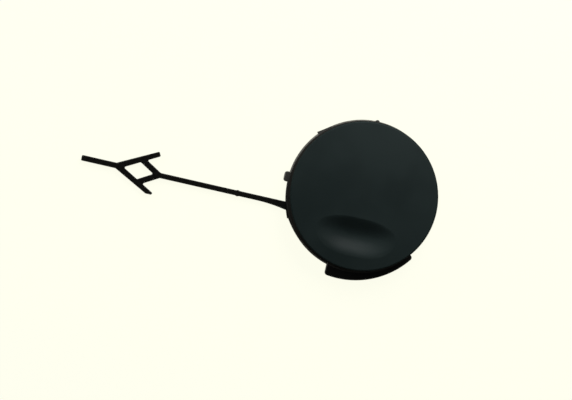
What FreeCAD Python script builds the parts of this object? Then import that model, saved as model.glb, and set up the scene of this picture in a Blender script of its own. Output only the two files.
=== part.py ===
"""Tow hook cover for a car bumper: a round snap-in cap with a thumb dimple, and a strap with a barbed anchor.

Lengths are in millimetres and angles in degrees. The Z axis is the axis of the round face and points out of it.
The undersides of the flange, lip and strap lie on z = 0. The strap runs to -X and the dimple is on the -Y side.
"""
import math
import os

import FreeCAD, Part

# Round cap
face_radius = 35.0
rim_height = 8.0
crown = 1.3
face_wall = 2.0
rim_round = 0.9
skirt_wall = 1.8
skirt_draft = 2.5

# Thumb dimple, an oval bowl with a firm upper edge that runs out softly on the rim side
dimple_margin = 6.0
dimple_half_length = 19.5
dimple_upper_width = 8.2
dimple_lower_width = 10.5
dimple_depth = 2.8
dimple_upper_fade = 1.6
dimple_lower_fade = 2.3
dimple_fullness = 2.6
dimple_overlap = 1.5
dimple_lift = 0.015
grid_step = 0.9

# Flange round the back of the skirt, with its sloped upper edge, and the bevel on the other thin upper edges
flange_reach = 0.65
flange_thickness = 1.6
flange_slope = 0.55
edge_bevel = 0.35

# Hook lip, a crescent that reaches under the edge of the opening
lip_reach = 4.1
lip_shift = 2.9
lip_left = 9.4
lip_right_angle = 322.5
lip_thickness = 2.0
lip_corner = 1.5

# Locating knob
knob_reach = 2.0
knob_width = 4.8
knob_offset = 1.25
knob_corner = 1.2

# Ramped snap tabs, each with a square end, and a small nib
ramp_reach = 0.9
low_ramp_reach = 0.42
long_ramp_angles = (180.0, 209.0)
short_ramp_angles = (127.0, 138.0)
low_ramp_end = 228.0
nib_reach = 0.6
nib_radius = 1.0
nib_angle = 91.0

# Gussets in the corner of skirt and face
gusset_thickness = 1.2
gusset_leg = 3.6
gusset_angles = (0.0, 45.0, 90.0, 135.0, 180.0, 225.0, 315.0)

# Strap
strap_offset = 11.6
strap_width = 2.45
strap_thickness = 1.6
strap_length = 63.4
flare_length = 14.0
flare_width = 1.35
bead_distance = 23.4
bead_reach = 0.25

# Barbed anchor at the end of the strap
hole_length = 13.9
nose_length = 6.1
barb_angle = 27.5
barb_length = 23.2
barb_tip_width = 2.3
barb_end_left = 1.05
brace_angle = 30.5
brace_width = 2.75
tail_width = 2.6
tail_length = 13.6
anchor_corner = 0.6

# Sizes that follow from those above
draft_slope = math.tan(math.radians(skirt_draft))
skirt_radius = face_radius + rim_height * draft_slope
inner_radius = skirt_radius - skirt_wall
flange_radius = skirt_radius + flange_reach
dome_radius = (face_radius ** 2 + crown ** 2) / (2.0 * crown)
dimple_y = dimple_margin + dimple_lower_width - face_radius
strap_root = -math.sqrt(inner_radius ** 2 - strap_offset ** 2)
strap_start = -math.sqrt(flange_radius ** 2 - strap_offset ** 2)
hole_back = strap_start - strap_length
hole_front = hole_back - hole_length
apex = hole_front - nose_length
UP = FreeCAD.Vector(0, 0, 1)
ORIGIN = FreeCAD.Vector(0, 0, 0)


def point(x, y, z=0.0):
    return FreeCAD.Vector(x, y, z)


def polar(radius, angle):
    return point(radius * math.cos(math.radians(angle)), radius * math.sin(math.radians(angle)))


def plate(sides, thickness):
    """A flat plate on z = 0 from the edges of its outline."""
    return Part.Face(Part.Wire(sides)).extrude(UP * thickness)


def lines(points):
    return [Part.LineSegment(a, b).toShape() for a, b in zip(points, points[1:])]


def upright_edges(solid):
    return [e for e in solid.Edges if e.BoundBox.XLength + e.BoundBox.YLength < 1e-6]


def bevel_top(solid, height, bevel=edge_bevel):
    level = [e for e in solid.Edges if abs(e.BoundBox.ZMin - height) + abs(e.BoundBox.ZMax - height) < 1e-6]
    return solid.makeChamfer(bevel, level)


def dome_height(radius):
    """Height of the crowned face at this distance from its axis, without the dimple."""
    return rim_height + crown - dome_radius + math.sqrt(dome_radius ** 2 - radius ** 2)


def under_dome(drop):
    """The great ball that the crowned face belongs to, lowered by drop. Its poles lie far off to the sides."""
    ball = Part.makeSphere(dome_radius).rotated(ORIGIN, point(1, 0, 0), 90)
    return ball.translated(UP * (rim_height + crown - dome_radius - drop))


def drafted_plug(radius):
    """A round plug that narrows upwards by the draft of the skirt and stands clear of the face."""
    height = rim_height + crown + face_wall
    return Part.makeCone(radius, radius - height * draft_slope, height)


def dimple_share(x, y):
    """Depth of the bowl as a share of its greatest depth: 1 in the valley, 0 on its edge, and less outside."""
    across = (y - dimple_y) / (dimple_upper_width if y > dimple_y else dimple_lower_width)
    along = abs(x / dimple_half_length) ** (dimple_fullness / 2.0)
    spread = math.hypot(across, along)
    side = 0.5 + 0.5 * across / max(spread, 1e-9)
    fade = dimple_lower_fade + (dimple_upper_fade - dimple_lower_fade) * side * side * (3.0 - 2.0 * side)
    room = 1.0 - spread ** 2
    return math.copysign(abs(room) ** fade, room)


def stations(low, high):
    """Even steps from low to high, about one grid step apart."""
    count = int(math.ceil((high - low) / grid_step))
    return [low + (high - low) * i / count for i in range(count + 1)]


def dimple_tool(drop):
    """The space over the dimple's bowl, lowered by drop. Outside the bowl its underside rises clear of the face."""
    length = dimple_half_length + dimple_overlap
    columns = stations(-length, length)
    rows = stations(dimple_y - dimple_lower_width - dimple_overlap, dimple_y + dimple_upper_width + dimple_overlap)
    grid = []
    for x in columns:
        heights = [dome_height(math.hypot(x, y)) + dimple_lift - dimple_depth * dimple_share(x, y) - drop for y in rows]
        grid.append([point(x, y, z) for y, z in zip(rows, heights)])
    surface = Part.BSplineSurface()
    surface.interpolate(grid)
    return surface.toShape().extrude(UP * (dimple_depth + crown + face_wall))


def cap_body():
    """The solid cap with its rim rounded and the dimple cut into its face."""
    body = drafted_plug(skirt_radius).common(under_dome(0.0))
    rim = [e for e in body.Edges if e.BoundBox.ZMin > rim_height / 2.0 and e.BoundBox.XLength > face_radius]
    return body.makeFillet(rim_round, rim).cut(dimple_tool(0.0))


def cavity():
    """The hollow behind the face, which leaves an even wall under the dimple too."""
    return drafted_plug(inner_radius).common(under_dome(face_wall)).cut(dimple_tool(face_wall))


def flange():
    return bevel_top(Part.makeCylinder(flange_radius, flange_thickness), flange_thickness, flange_slope)


def hook_lip():
    """A crescent with its own centre, cut straight at one end and along a radius at the other."""
    radius = flange_radius + lip_reach
    far = 2.0 * radius
    tip = point(-lip_left, 0)
    right = polar(far, lip_right_angle)
    sector = plate(lines([tip, point(-lip_left, -far), point(right.x, -far), right, ORIGIN, tip]), lip_thickness)
    lip = Part.makeCylinder(radius, lip_thickness, point(-lip_shift, 0)).common(sector)
    lip = lip.makeFillet(lip_corner, [e for e in upright_edges(lip) if e.CenterOfMass.y < -inner_radius / 2.0])
    return bevel_top(lip, lip_thickness)


def knob():
    reach = flange_radius + knob_reach
    block = Part.makeBox(reach, knob_width, flange_thickness, point(-reach, knob_offset - knob_width / 2.0))
    block = block.makeFillet(knob_corner, [e for e in upright_edges(block) if e.CenterOfMass.x < -flange_radius])
    return bevel_top(block, flange_thickness)


def snap_ramp(start, end, reach):
    """A ramp that grows out of the flange from one angle to the other, in either direction, and ends square."""
    foot = polar(flange_radius, start)
    middle = polar(flange_radius + reach / 4.0, (start + end) / 2.0)
    tip = polar(flange_radius + reach, end)
    sides = lines([tip, ORIGIN, foot]) + [Part.Arc(foot, middle, tip).toShape()]
    return plate(sides, flange_thickness)


def nib():
    return Part.makeCylinder(nib_radius, flange_thickness, polar(flange_radius + nib_reach - nib_radius, nib_angle))


def gussets():
    """Small ribs in the corner of skirt and face, each with its top and back inside the walls."""
    roof = rim_height - face_wall
    top = roof + face_wall / 2.0
    back = inner_radius + skirt_wall / 2.0 - rim_height * draft_slope
    front = back - gusset_leg
    side = gusset_thickness / 2.0
    corners = [point(back, -side, top), point(front, -side, top), point(back, -side, roof - gusset_leg)]
    rib = Part.Face(Part.makePolygon(corners + corners[:1])).extrude(point(0, gusset_thickness, 0))
    return [rib.rotated(ORIGIN, UP, angle) for angle in gusset_angles]


def strap_bar():
    half = strap_width / 2.0
    return Part.makeBox(strap_root - hole_back, strap_width, strap_thickness, point(hole_back, -half))


def strap_flare():
    """The curved widening on the -Y side of the strap where it runs into the cap."""
    edge = -strap_width / 2.0
    curve = (flare_length ** 2 + flare_width ** 2) / (2.0 * flare_width)
    begin = point(strap_start - flare_length, edge)
    sag = curve - math.sqrt(curve ** 2 - flare_length ** 2 / 4.0)
    middle = point(strap_start - flare_length / 2.0, edge - sag)
    finish = point(strap_start, edge - flare_width)
    outline = [finish, point(strap_root, finish.y), point(strap_root, 0), point(begin.x, 0), begin]
    return plate([Part.Arc(begin, middle, finish).toShape()] + lines(outline), strap_thickness)


def strap_bead():
    bead = Part.makeCylinder(strap_width / 2.0 + bead_reach, strap_thickness, point(strap_start - bead_distance, 0))
    return bevel_top(bead, strap_thickness)


def barb_points():
    """Corners of one barb: apex, outer tip, inner tip and the front of the hole."""
    slope = math.radians(barb_angle)
    outer = point(apex + barb_length * math.cos(slope), barb_length * math.sin(slope))
    inner = point(outer.x + barb_tip_width * math.sin(slope), outer.y - barb_tip_width * math.cos(slope))
    return [point(apex, 0), outer, inner, point(hole_front, 0)]


def brace_points():
    """Corners of one brace, which runs from the strap into the middle of the barb."""
    nose, outer, inner, front = barb_points()
    root = (nose + front) * 0.5
    along = (outer + inner) * 0.5 - root
    slope = math.tan(math.radians(brace_angle))
    near = point(hole_back, 0)
    far = point(hole_back + brace_width / math.sin(math.radians(brace_angle)), 0)
    ends = []
    for start in (near, far):
        share = slope * (start.x - root.x) / (along.y + slope * along.x)
        ends.append(root + along * share)
    return [near, ends[0], ends[1], far]


def anchor():
    """Barbs, braces and tail, with the barb on the -Y side trimmed level, so that part of its end is left."""
    barb = plate(lines(barb_points() + barb_points()[:1]), strap_thickness)
    brace = plate(lines(brace_points() + brace_points()[:1]), strap_thickness)
    half = barb.fuse(brace)
    other = half.mirror(ORIGIN, point(0, 1, 0))
    level = barb_points()[2].y + barb_end_left * math.cos(math.radians(barb_angle))
    other = other.cut(Part.makeBox(2.0 * barb_length, barb_length, strap_thickness, point(apex, -level - barb_length)))
    tail_end = apex - tail_length
    tail = Part.makeBox(hole_front - tail_end, tail_width, strap_thickness, point(tail_end, -tail_width / 2.0))
    return half.fuse([other, tail])


def strap():
    """Strap, flare and anchor as one flat moulding with its corners rounded and its upper edges bevelled."""
    whole = strap_bar().fuse([strap_flare(), anchor()]).removeSplitter()
    corners = [e for e in upright_edges(whole) if e.CenterOfMass.x < strap_start - flare_length]
    corner = min(anchor_corner, barb_end_left / 2.0)
    whole = bevel_top(whole.makeFillet(corner, corners), strap_thickness)
    return whole.fuse(strap_bead()).translated(point(0, -strap_offset))


def tow_hook_cover():
    ramps = [snap_ramp(*long_ramp_angles, ramp_reach), snap_ramp(*short_ramp_angles, ramp_reach)]
    low_ramp = snap_ramp(low_ramp_end, long_ramp_angles[1], low_ramp_reach)
    rim_parts = [flange(), hook_lip(), knob(), nib(), low_ramp] + ramps
    solid = cap_body().fuse(rim_parts + [strap()]).cut(cavity())
    return solid.fuse(gussets()).removeSplitter()


cover = tow_hook_cover()
os.makedirs("parts", exist_ok=True)
cover.exportStep("parts/tow_hook_cover.step")
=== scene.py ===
"""Looks of the tow hook cover: one dark satin moulding, lying face up on a pale floor."""

import math
from types import SimpleNamespace

import bpy
from mathutils import Matrix, Vector

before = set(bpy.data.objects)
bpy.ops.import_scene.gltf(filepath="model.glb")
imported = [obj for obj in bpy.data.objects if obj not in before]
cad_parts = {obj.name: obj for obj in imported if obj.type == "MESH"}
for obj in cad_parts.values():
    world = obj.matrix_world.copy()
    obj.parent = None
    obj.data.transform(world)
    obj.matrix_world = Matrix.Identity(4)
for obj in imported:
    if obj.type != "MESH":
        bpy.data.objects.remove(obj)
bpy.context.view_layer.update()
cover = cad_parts["tow_hook_cover"]
scene = bpy.context.scene
scene.view_settings.view_transform = "Standard"

# Places on the part: Z is the axis of the face, and the strap runs to -X on the -Y side
# Each pair says where a mask starts to change and where the change ends
MM = 0.001
FACE_RADIUS = 35.0 * MM
FACE_FADE = (FACE_RADIUS, FACE_RADIUS + 0.3 * MM)
RIM_FADE = (FACE_RADIUS - 1.0 * MM, FACE_RADIUS - 0.4 * MM)
FLANGE_RADIUS = 36.0 * MM
FLANGE_FADE = (FLANGE_RADIUS, FLANGE_RADIUS + 0.1 * MM)
LOW_FADE = (2.05 * MM, 2.4 * MM)
STRAP_X_FADE = (-38.0 * MM, -34.0 * MM)
STRAP_Y_FADE = (-5.0 * MM, -4.0 * MM)
TABS_Y_FADE = (-4.0 * MM, -3.0 * MM)
PAST_KNOB_X_FADE = (-42.0 * MM, -40.0 * MM)

# How far a surface faces up, where 1 is straight up
COAT_UPWARD = (0.55, 0.90)
STRAP_UPWARD = (0.35, 0.60)
RING_UPWARD = (0.2, 0.5)
SLOPE_UPWARD = (0.6, 0.65)
ABOVE_SLOPE_UPWARD = (0.8, 0.9)

# Patterns in the plastic: their sizes, and the stretches of their values that are used
CLOUD_SIZE = 26.0 * MM
SPECK_SIZE = 1.3 * MM
GRAIN_SIZE = 0.28 * MM
NOISE_ROUGHNESS = 0.55
MIDDLE_VALUES = (0.3, 0.7)
CLOUD_COLOUR_VALUES = (0.35, 0.65)
GRAIN_BUMP = {"Strength": 0.12, "Distance": 0.02 * MM}
CLOUD_BUMP = {"Strength": 0.10, "Distance": 0.4 * MM}

# Wear: how far the surface turns at a worn edge, and where the specks let the wear show; on the flange slope
# the scuffs also carry a painted highlight
EDGE_WIDTH = 0.5 * MM
EDGE_SAMPLES = 4
EDGE_TURN = (0.995, 0.93)
WORN_SPECKS = (0.45, 0.7)
WEAR = 0.12
SCUFF_SPECKS = (0.3, 0.65)
SCUFF_AMOUNT = (0.4, 1.0)

# Colours of the moulding, from darker to lighter where there are two
COAT_COLOURS = ((0.0080, 0.0140, 0.0135, 1), (0.0100, 0.0170, 0.0164, 1))
RAW_COLOURS = ((0.0100, 0.0098, 0.0090, 1), (0.0135, 0.0132, 0.0122, 1))
# Painted shade: the strap's up-facing surfaces are made darker than the raw plastic of its sides
PAINTED_SHADE_STRAP_COLOURS = ((0.0022, 0.0019, 0.0013, 1), (0.0036, 0.0032, 0.0023, 1))
WORN_COLOUR = (0.05, 0.05, 0.05, 1)
# Painted light: flange and tab surfaces that face up are made paler than the raw plastic
PAINTED_LIGHT_RING_COLOUR = (0.042, 0.041, 0.037, 1)
# Scuffs on the flange slope, partly wear and partly a painted highlight
SCUFF_AND_PAINTED_HIGHLIGHT_COLOUR = (0.085, 0.082, 0.071, 1)

# Gloss of the moulding
COAT_ROUGHNESS = (0.50, 0.56)
BARE_ROUGHNESS = (0.36, 0.44)
SCUFF_ROUGHNESS = 0.25
FACE_SHINE = 0.15
RIM_SHINE = 0.04
LOW_SHINE = 0.20
PLASTIC_IOR = 1.46

# Floor, in metres, and surroundings
FLOOR_SIZE = 12.0
FLOOR_GAP = 0.1 * MM
FLOOR_LIT = (0.80, 0.80, 0.70, 1)
FLOOR_SHADE = (0.06, 0.06, 0.052, 1)
FLOOR_GLOW = (1.0, 1.0, 0.866, 1)
FLOOR_GLOW_STRENGTH = 0.963
WORLD_COLOUR = (1, 1, 1, 1)
HORIZON_LIGHT = 0.22
OVERHEAD_LIGHT = 0.05
OVERHEAD_START = 0.9

# Lamps: their side of the image (right, up), then metres, and watts
KEY_LAMP = {"toward": (0.5, 1.0), "height": 0.25, "reach": 0.38, "size": (0.30, 0.23), "power": 2.7}
EDGE_LAMP = {"toward": (-0.75, 0.66), "height": 0.15, "reach": 0.62, "size": (0.60, 0.24), "power": 3.0}

# Camera: almost straight down, leaning to the strap side
IMAGE_WIDTH = 572
SENSOR_WIDTH = 36.0
FOCAL_PIXELS = 1300.05
CAMERA_DISTANCE = 600 * MM
CAMERA_LEAN = math.radians(6.0)
CAMERA_SPIN = math.radians(12.81)
LOOK_AT = Vector((-35.38, -9.83, 8.0)) * MM


class Nodes:
    """Short calls for building a node tree."""

    def __init__(self, owner):
        owner.use_nodes = True
        self.tree = owner.node_tree
        self.tree.nodes.clear()

    def add(self, kind, inputs=None, **settings):
        node = self.tree.nodes.new(kind)
        for name, value in settings.items():
            setattr(node, name, value)
        for name, value in (inputs or {}).items():
            if isinstance(value, bpy.types.NodeSocket):
                self.tree.links.new(value, node.inputs[name])
            else:
                node.inputs[name].default_value = value
        return node

    def math(self, operation, first, *others):
        """The first value, taken together with each of the others in turn."""
        result = first
        for other in others:
            result = self.add("ShaderNodeMath", {0: result, 1: other}, operation=operation).outputs[0]
        return result

    def overlap(self, *masks):
        """1 where all the masks are 1."""
        return self.math("MULTIPLY", *masks)

    def either(self, *masks):
        """1 where any of the masks is 1."""
        return self.math("MAXIMUM", *masks)

    def spread(self, value, low, high, to_low=0.0, to_high=1.0):
        """The value, taken smoothly from low..high to to_low..to_high."""
        inputs = {"Value": value, "From Min": low, "From Max": high, "To Min": to_low, "To Max": to_high}
        return self.add("ShaderNodeMapRange", inputs, interpolation_type="SMOOTHSTEP").outputs[0]

    def below(self, value, low, high):
        """1 up to low, falling smoothly to 0 at high."""
        return self.spread(value, low, high, 1.0, 0.0)

    def mix(self, factor, a, b):
        """A mix of two colours, which are sockets 6 and 7 of the node."""
        return self.add("ShaderNodeMix", {0: factor, 6: a, 7: b}, data_type="RGBA").outputs[2]

    def blend(self, factor, a, b):
        """A mix of two numbers, which are sockets 2 and 3 of the node."""
        return self.add("ShaderNodeMix", {0: factor, 2: a, 3: b}).outputs[0]

    def noise(self, place, size, detail):
        inputs = {"Vector": place, "Scale": 1.0 / size, "Detail": detail, "Roughness": NOISE_ROUGHNESS}
        return self.add("ShaderNodeTexNoise", inputs).outputs["Fac"]

    def bump(self, **inputs):
        return self.add("ShaderNodeBump", inputs).outputs[0]


def moulding_places(n):
    """The patterns, and masks that tell the areas apart by their place and by how far they face up."""
    place = n.add("ShaderNodeTexCoord").outputs["Object"]
    x, y, z = n.add("ShaderNodeSeparateXYZ", {0: place}).outputs
    facing = n.add("ShaderNodeNewGeometry").outputs["Normal"]
    upward = n.add("ShaderNodeSeparateXYZ", {0: facing}).outputs["Z"]
    level = n.add("ShaderNodeCombineXYZ", {"X": x, "Y": y}).outputs[0]
    radius = n.add("ShaderNodeVectorMath", {0: level}, operation="LENGTH").outputs["Value"]

    at = SimpleNamespace(facing=facing, radius=radius)
    at.cloud = n.noise(place, CLOUD_SIZE, detail=2.0)
    at.speck = n.noise(place, SPECK_SIZE, detail=4.0)
    at.grain = n.noise(place, GRAIN_SIZE, detail=2.0)

    at.coat = n.overlap(n.below(radius, *FACE_FADE), n.spread(upward, *COAT_UPWARD))
    strap_root = n.overlap(n.below(x, *STRAP_X_FADE), n.below(y, *STRAP_Y_FADE))
    on_strap = n.either(strap_root, n.below(x, *PAST_KNOB_X_FADE))
    # Painted shade goes on the strap's up-facing surfaces
    at.strap_top = n.overlap(on_strap, n.spread(upward, *STRAP_UPWARD))

    at.low = n.below(z, *LOW_FADE)
    on_tabs = n.overlap(n.spread(y, *TABS_Y_FADE), n.spread(x, *PAST_KNOB_X_FADE))
    around = n.either(n.below(radius, *FLANGE_FADE), on_tabs)
    # Painted light on the low up-facing surfaces of the flange and tabs
    at.ring = n.overlap(around, at.low, n.spread(upward, *RING_UPWARD))
    on_slope = n.overlap(n.spread(upward, *SLOPE_UPWARD), n.below(upward, *ABOVE_SLOPE_UPWARD))
    # Scuffs with a painted highlight, on the flange slope
    at.scuffed = n.overlap(at.ring, on_slope, n.spread(at.speck, *SCUFF_SPECKS, *SCUFF_AMOUNT))
    return at


def worn_edges(n, at):
    """Patchy wear where the surface turns within the width of an edge."""
    rounded = n.add("ShaderNodeBevel", {"Radius": EDGE_WIDTH}, samples=EDGE_SAMPLES).outputs[0]
    sides = {0: rounded, 1: at.facing}
    turn = n.add("ShaderNodeVectorMath", sides, operation="DOT_PRODUCT").outputs["Value"]
    worn = n.overlap(n.spread(turn, *EDGE_TURN), n.spread(at.speck, *WORN_SPECKS))
    return n.math("MULTIPLY", worn, WEAR)


def moulding_colour(n, at):
    """A cool coat on the face and raw plastic elsewhere; painted shade makes the strap's upward faces
    blackest, painted light makes up-facing flange and tab surfaces paler, and scuffs on the flange slope
    carry a painted highlight.
    """
    specks = n.spread(at.speck, *MIDDLE_VALUES)
    # Painted shade: the strap's up-facing surfaces take the darker strap colours
    bare = n.mix(at.strap_top, n.mix(specks, *RAW_COLOURS), n.mix(specks, *PAINTED_SHADE_STRAP_COLOURS))
    coat = n.mix(n.spread(at.cloud, *CLOUD_COLOUR_VALUES), *COAT_COLOURS)
    colour = n.mix(at.coat, bare, coat)
    colour = n.mix(worn_edges(n, at), colour, WORN_COLOUR)
    # Painted light on the flange and tabs
    colour = n.mix(at.ring, colour, PAINTED_LIGHT_RING_COLOUR)
    # Scuffs, partly wear and partly a painted highlight
    return n.mix(at.scuffed, colour, SCUFF_AND_PAINTED_HIGHLIGHT_COLOUR)


def moulding_roughness(n, at):
    """Satin on the coat, smoother on bare plastic, and duller on the scuffs of the flange slope, where a
    painted highlight also lies.
    """
    coat = n.spread(at.cloud, *MIDDLE_VALUES, *COAT_ROUGHNESS)
    bare = n.spread(at.speck, *MIDDLE_VALUES, *BARE_ROUGHNESS)
    scuffed = n.math("MULTIPLY", at.scuffed, SCUFF_ROUGHNESS)
    return n.blend(at.coat, n.math("ADD", bare, scuffed), coat)


def moulding_shine(n, at):
    """Some on the face, less at its rim, none on the skirt, and most on what lies low."""
    face = n.math("MULTIPLY", at.coat, n.spread(at.radius, *RIM_FADE, FACE_SHINE, RIM_SHINE))
    return n.math("ADD", face, n.math("MULTIPLY", at.low, LOW_SHINE))


def moulding_normal(n, at):
    """Fine grain, on a waviness as wide as the clouds."""
    fine = n.bump(Height=at.grain, **GRAIN_BUMP)
    return n.bump(Height=at.cloud, Normal=fine, **CLOUD_BUMP)


def moulding_material():
    material = bpy.data.materials.new("moulding")
    n = Nodes(material)
    at = moulding_places(n)
    inputs = {
        "Base Color": moulding_colour(n, at),
        "Roughness": moulding_roughness(n, at),
        "Normal": moulding_normal(n, at),
        "IOR": PLASTIC_IOR,
        "Specular IOR Level": moulding_shine(n, at),
    }
    shader = n.add("ShaderNodeBsdfPrincipled", inputs)
    n.add("ShaderNodeOutputMaterial", {"Surface": shader.outputs[0]})
    return material


def floor_material():
    """Warm white to the camera and in reflections, with the shadow of the part on it."""
    material = bpy.data.materials.new("floor")
    n = Nodes(material)
    path = n.add("ShaderNodeLightPath").outputs
    seen = n.either(path["Is Camera Ray"], path["Is Glossy Ray"], path["Is Transmission Ray"])
    lit = n.add("ShaderNodeBsdfDiffuse", {"Color": FLOOR_LIT}).outputs[0]
    shade = n.add("ShaderNodeBsdfDiffuse", {"Color": FLOOR_SHADE}).outputs[0]
    glow = n.add("ShaderNodeEmission", {"Color": FLOOR_GLOW, "Strength": FLOOR_GLOW_STRENGTH}).outputs[0]
    shown = n.add("ShaderNodeAddShader", {0: shade, 1: glow}).outputs[0]
    shader = n.add("ShaderNodeMixShader", {0: seen, 1: lit, 2: shown})
    n.add("ShaderNodeOutputMaterial", {"Surface": shader.outputs[0]})
    return material


def add_floor():
    bpy.ops.mesh.primitive_plane_add(size=FLOOR_SIZE, location=(0, 0, -FLOOR_GAP))
    floor = bpy.context.object
    floor.name = "floor"
    floor.data.materials.append(floor_material())


def camera_axes():
    """The image's right and up, and the direction from the part to the camera."""
    right = Vector((math.cos(CAMERA_SPIN), math.sin(CAMERA_SPIN), 0))
    up = Vector((-math.sin(CAMERA_SPIN), math.cos(CAMERA_SPIN), 0))
    out = Vector((0, 0, 1))
    back = math.cos(CAMERA_LEAN) * out - math.sin(CAMERA_LEAN) * right
    side = math.cos(CAMERA_LEAN) * right + math.sin(CAMERA_LEAN) * out
    return side, up, back


def add_camera():
    side, up, back = camera_axes()
    data = bpy.data.cameras.new("camera")
    data.sensor_width = SENSOR_WIDTH
    data.lens = FOCAL_PIXELS * SENSOR_WIDTH / IMAGE_WIDTH
    camera = bpy.data.objects.new("camera", data)
    scene.collection.objects.link(camera)
    turn = Matrix((side, up, back)).transposed().to_4x4()
    camera.matrix_world = Matrix.Translation(LOOK_AT + CAMERA_DISTANCE * back) @ turn
    scene.camera = camera


def add_lamp(name, toward, height, reach, size, power):
    """An area lamp on the side of the image that toward gives, aimed at the cap."""
    side, up, _ = camera_axes()
    flat = side * toward[0] + up * toward[1]
    flat.z = 0
    data = bpy.data.lights.new(name, "AREA")
    data.shape = "RECTANGLE"
    data.size, data.size_y = size
    data.energy = power
    lamp = bpy.data.objects.new(name, data)
    scene.collection.objects.link(lamp)
    lamp.location = flat.normalized() * reach + Vector((0, 0, height))
    lamp.rotation_euler = (-lamp.location).to_track_quat("-Z", "Y").to_euler()


def add_world():
    """Dim light all round, stronger near the horizon than overhead."""
    world = bpy.data.worlds.new("world")
    n = Nodes(world)
    place = n.add("ShaderNodeTexCoord").outputs["Generated"]
    height = n.add("ShaderNodeSeparateXYZ", {0: place}).outputs["Z"]
    strength = n.spread(height, 0.0, OVERHEAD_START, HORIZON_LIGHT, OVERHEAD_LIGHT)
    light = n.add("ShaderNodeBackground", {"Color": WORLD_COLOUR, "Strength": strength})
    n.add("ShaderNodeOutputWorld", {"Surface": light.outputs[0]})
    scene.world = world


cover.data.materials.clear()
cover.data.materials.append(moulding_material())
add_floor()
add_camera()
add_lamp("key", **KEY_LAMP)
add_lamp("edge", **EDGE_LAMP)
add_world()
